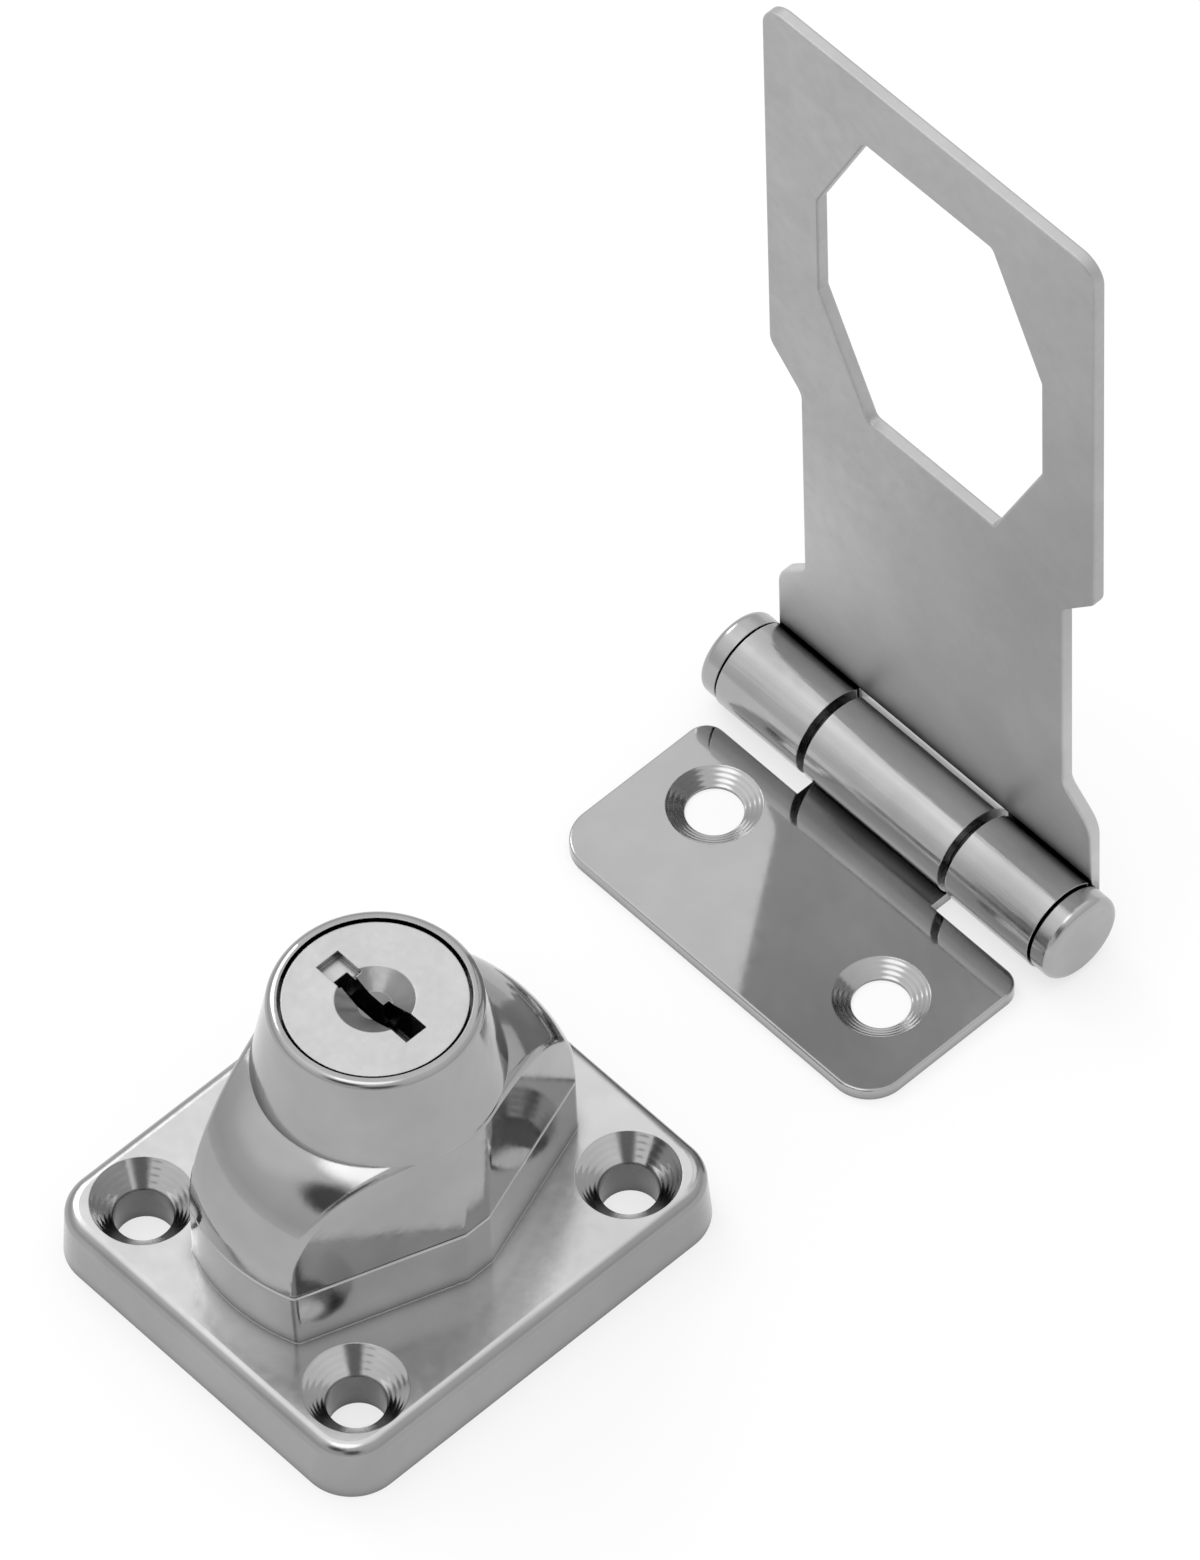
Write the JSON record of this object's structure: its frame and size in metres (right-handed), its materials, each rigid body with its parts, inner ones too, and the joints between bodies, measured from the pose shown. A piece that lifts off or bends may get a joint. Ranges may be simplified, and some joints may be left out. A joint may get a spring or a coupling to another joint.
{
  "type": "keyed hasp lock",
  "caption": "Hasp lock: a key-locked twist knob on a screw-down base, and a hinged slotted strap that closes over the knob and is held when the knob is turned across it.",
  "frame": {"origin": "centre of the lock's back face, on the surface that both halves are screwed to", "axes": "+Z away from the mounting surface, +X along the hinge line, +Y from the lock to the hinge"},
  "size_m": [0.0418, 0.0844, 0.0889],
  "materials": {
    "cast_chrome": "bright chrome plate on a zinc casting",
    "sheet_chrome": "satin-bright chrome plate on folded steel sheet",
    "plug_chrome": "satin chrome plate",
    "pin_chrome": "bright chrome plate",
    "spring_steel": "plain spring steel",
    "bolt_steel": "zinc-plated steel",
    "brass_parts": "plain brass"
  },
  "bodies": {
    "base": {"base_plate": "cast_chrome", "hasp_leaf": "sheet_chrome", "hinge_pin": "pin_chrome", "pin_end_cap": "pin_chrome", "wave_washer": "spring_steel"},
    "strap": {"hasp_strap": "sheet_chrome"},
    "knob": {"twist_knob": "cast_chrome", "cylinder_sleeve": "brass_parts", "retaining_ring": "spring_steel", "bolt_keeper": "bolt_steel"},
    "plug": {"key_plug": "plug_chrome", "plug_clip": "spring_steel", "wafer_1": "brass_parts", "wafer_2": "brass_parts", "wafer_3": "brass_parts", "wafer_4": "brass_parts", "wafer_5": "brass_parts", "wafer_spring_1": "spring_steel", "wafer_spring_2": "spring_steel", "wafer_spring_3": "spring_steel", "wafer_spring_4": "spring_steel", "wafer_spring_5": "spring_steel"},
    "bolt": {"locking_bolt": "bolt_steel"}
  },
  "joints": [
    {"name": "strap_hinge", "type": "hinge", "parent": "base", "child": "strap", "pos_m": [0, 0.0587, 0.00425], "axis": [1, 0, 0], "range_deg": [-90, 90]},
    {"name": "knob_turn", "type": "hinge", "parent": "base", "child": "knob", "pos_m": [0, 0, 0.009], "axis": [0, 0, 1], "range_deg": [-90, 0]},
    {"name": "key_turn", "type": "hinge", "parent": "knob", "child": "plug", "pos_m": [0, 0, 0.02], "axis": [0, 0, 1], "range_deg": [-90, 0]},
    {"name": "bolt_slide", "type": "slide", "parent": "knob", "child": "bolt", "axis": [0, -1, 0], "range_m": [0, 0.002]}
  ],
  "couplings": [
    {"joint": "bolt_slide", "follows": "key_turn", "m_per_rad": -0.0012732}
  ]
}
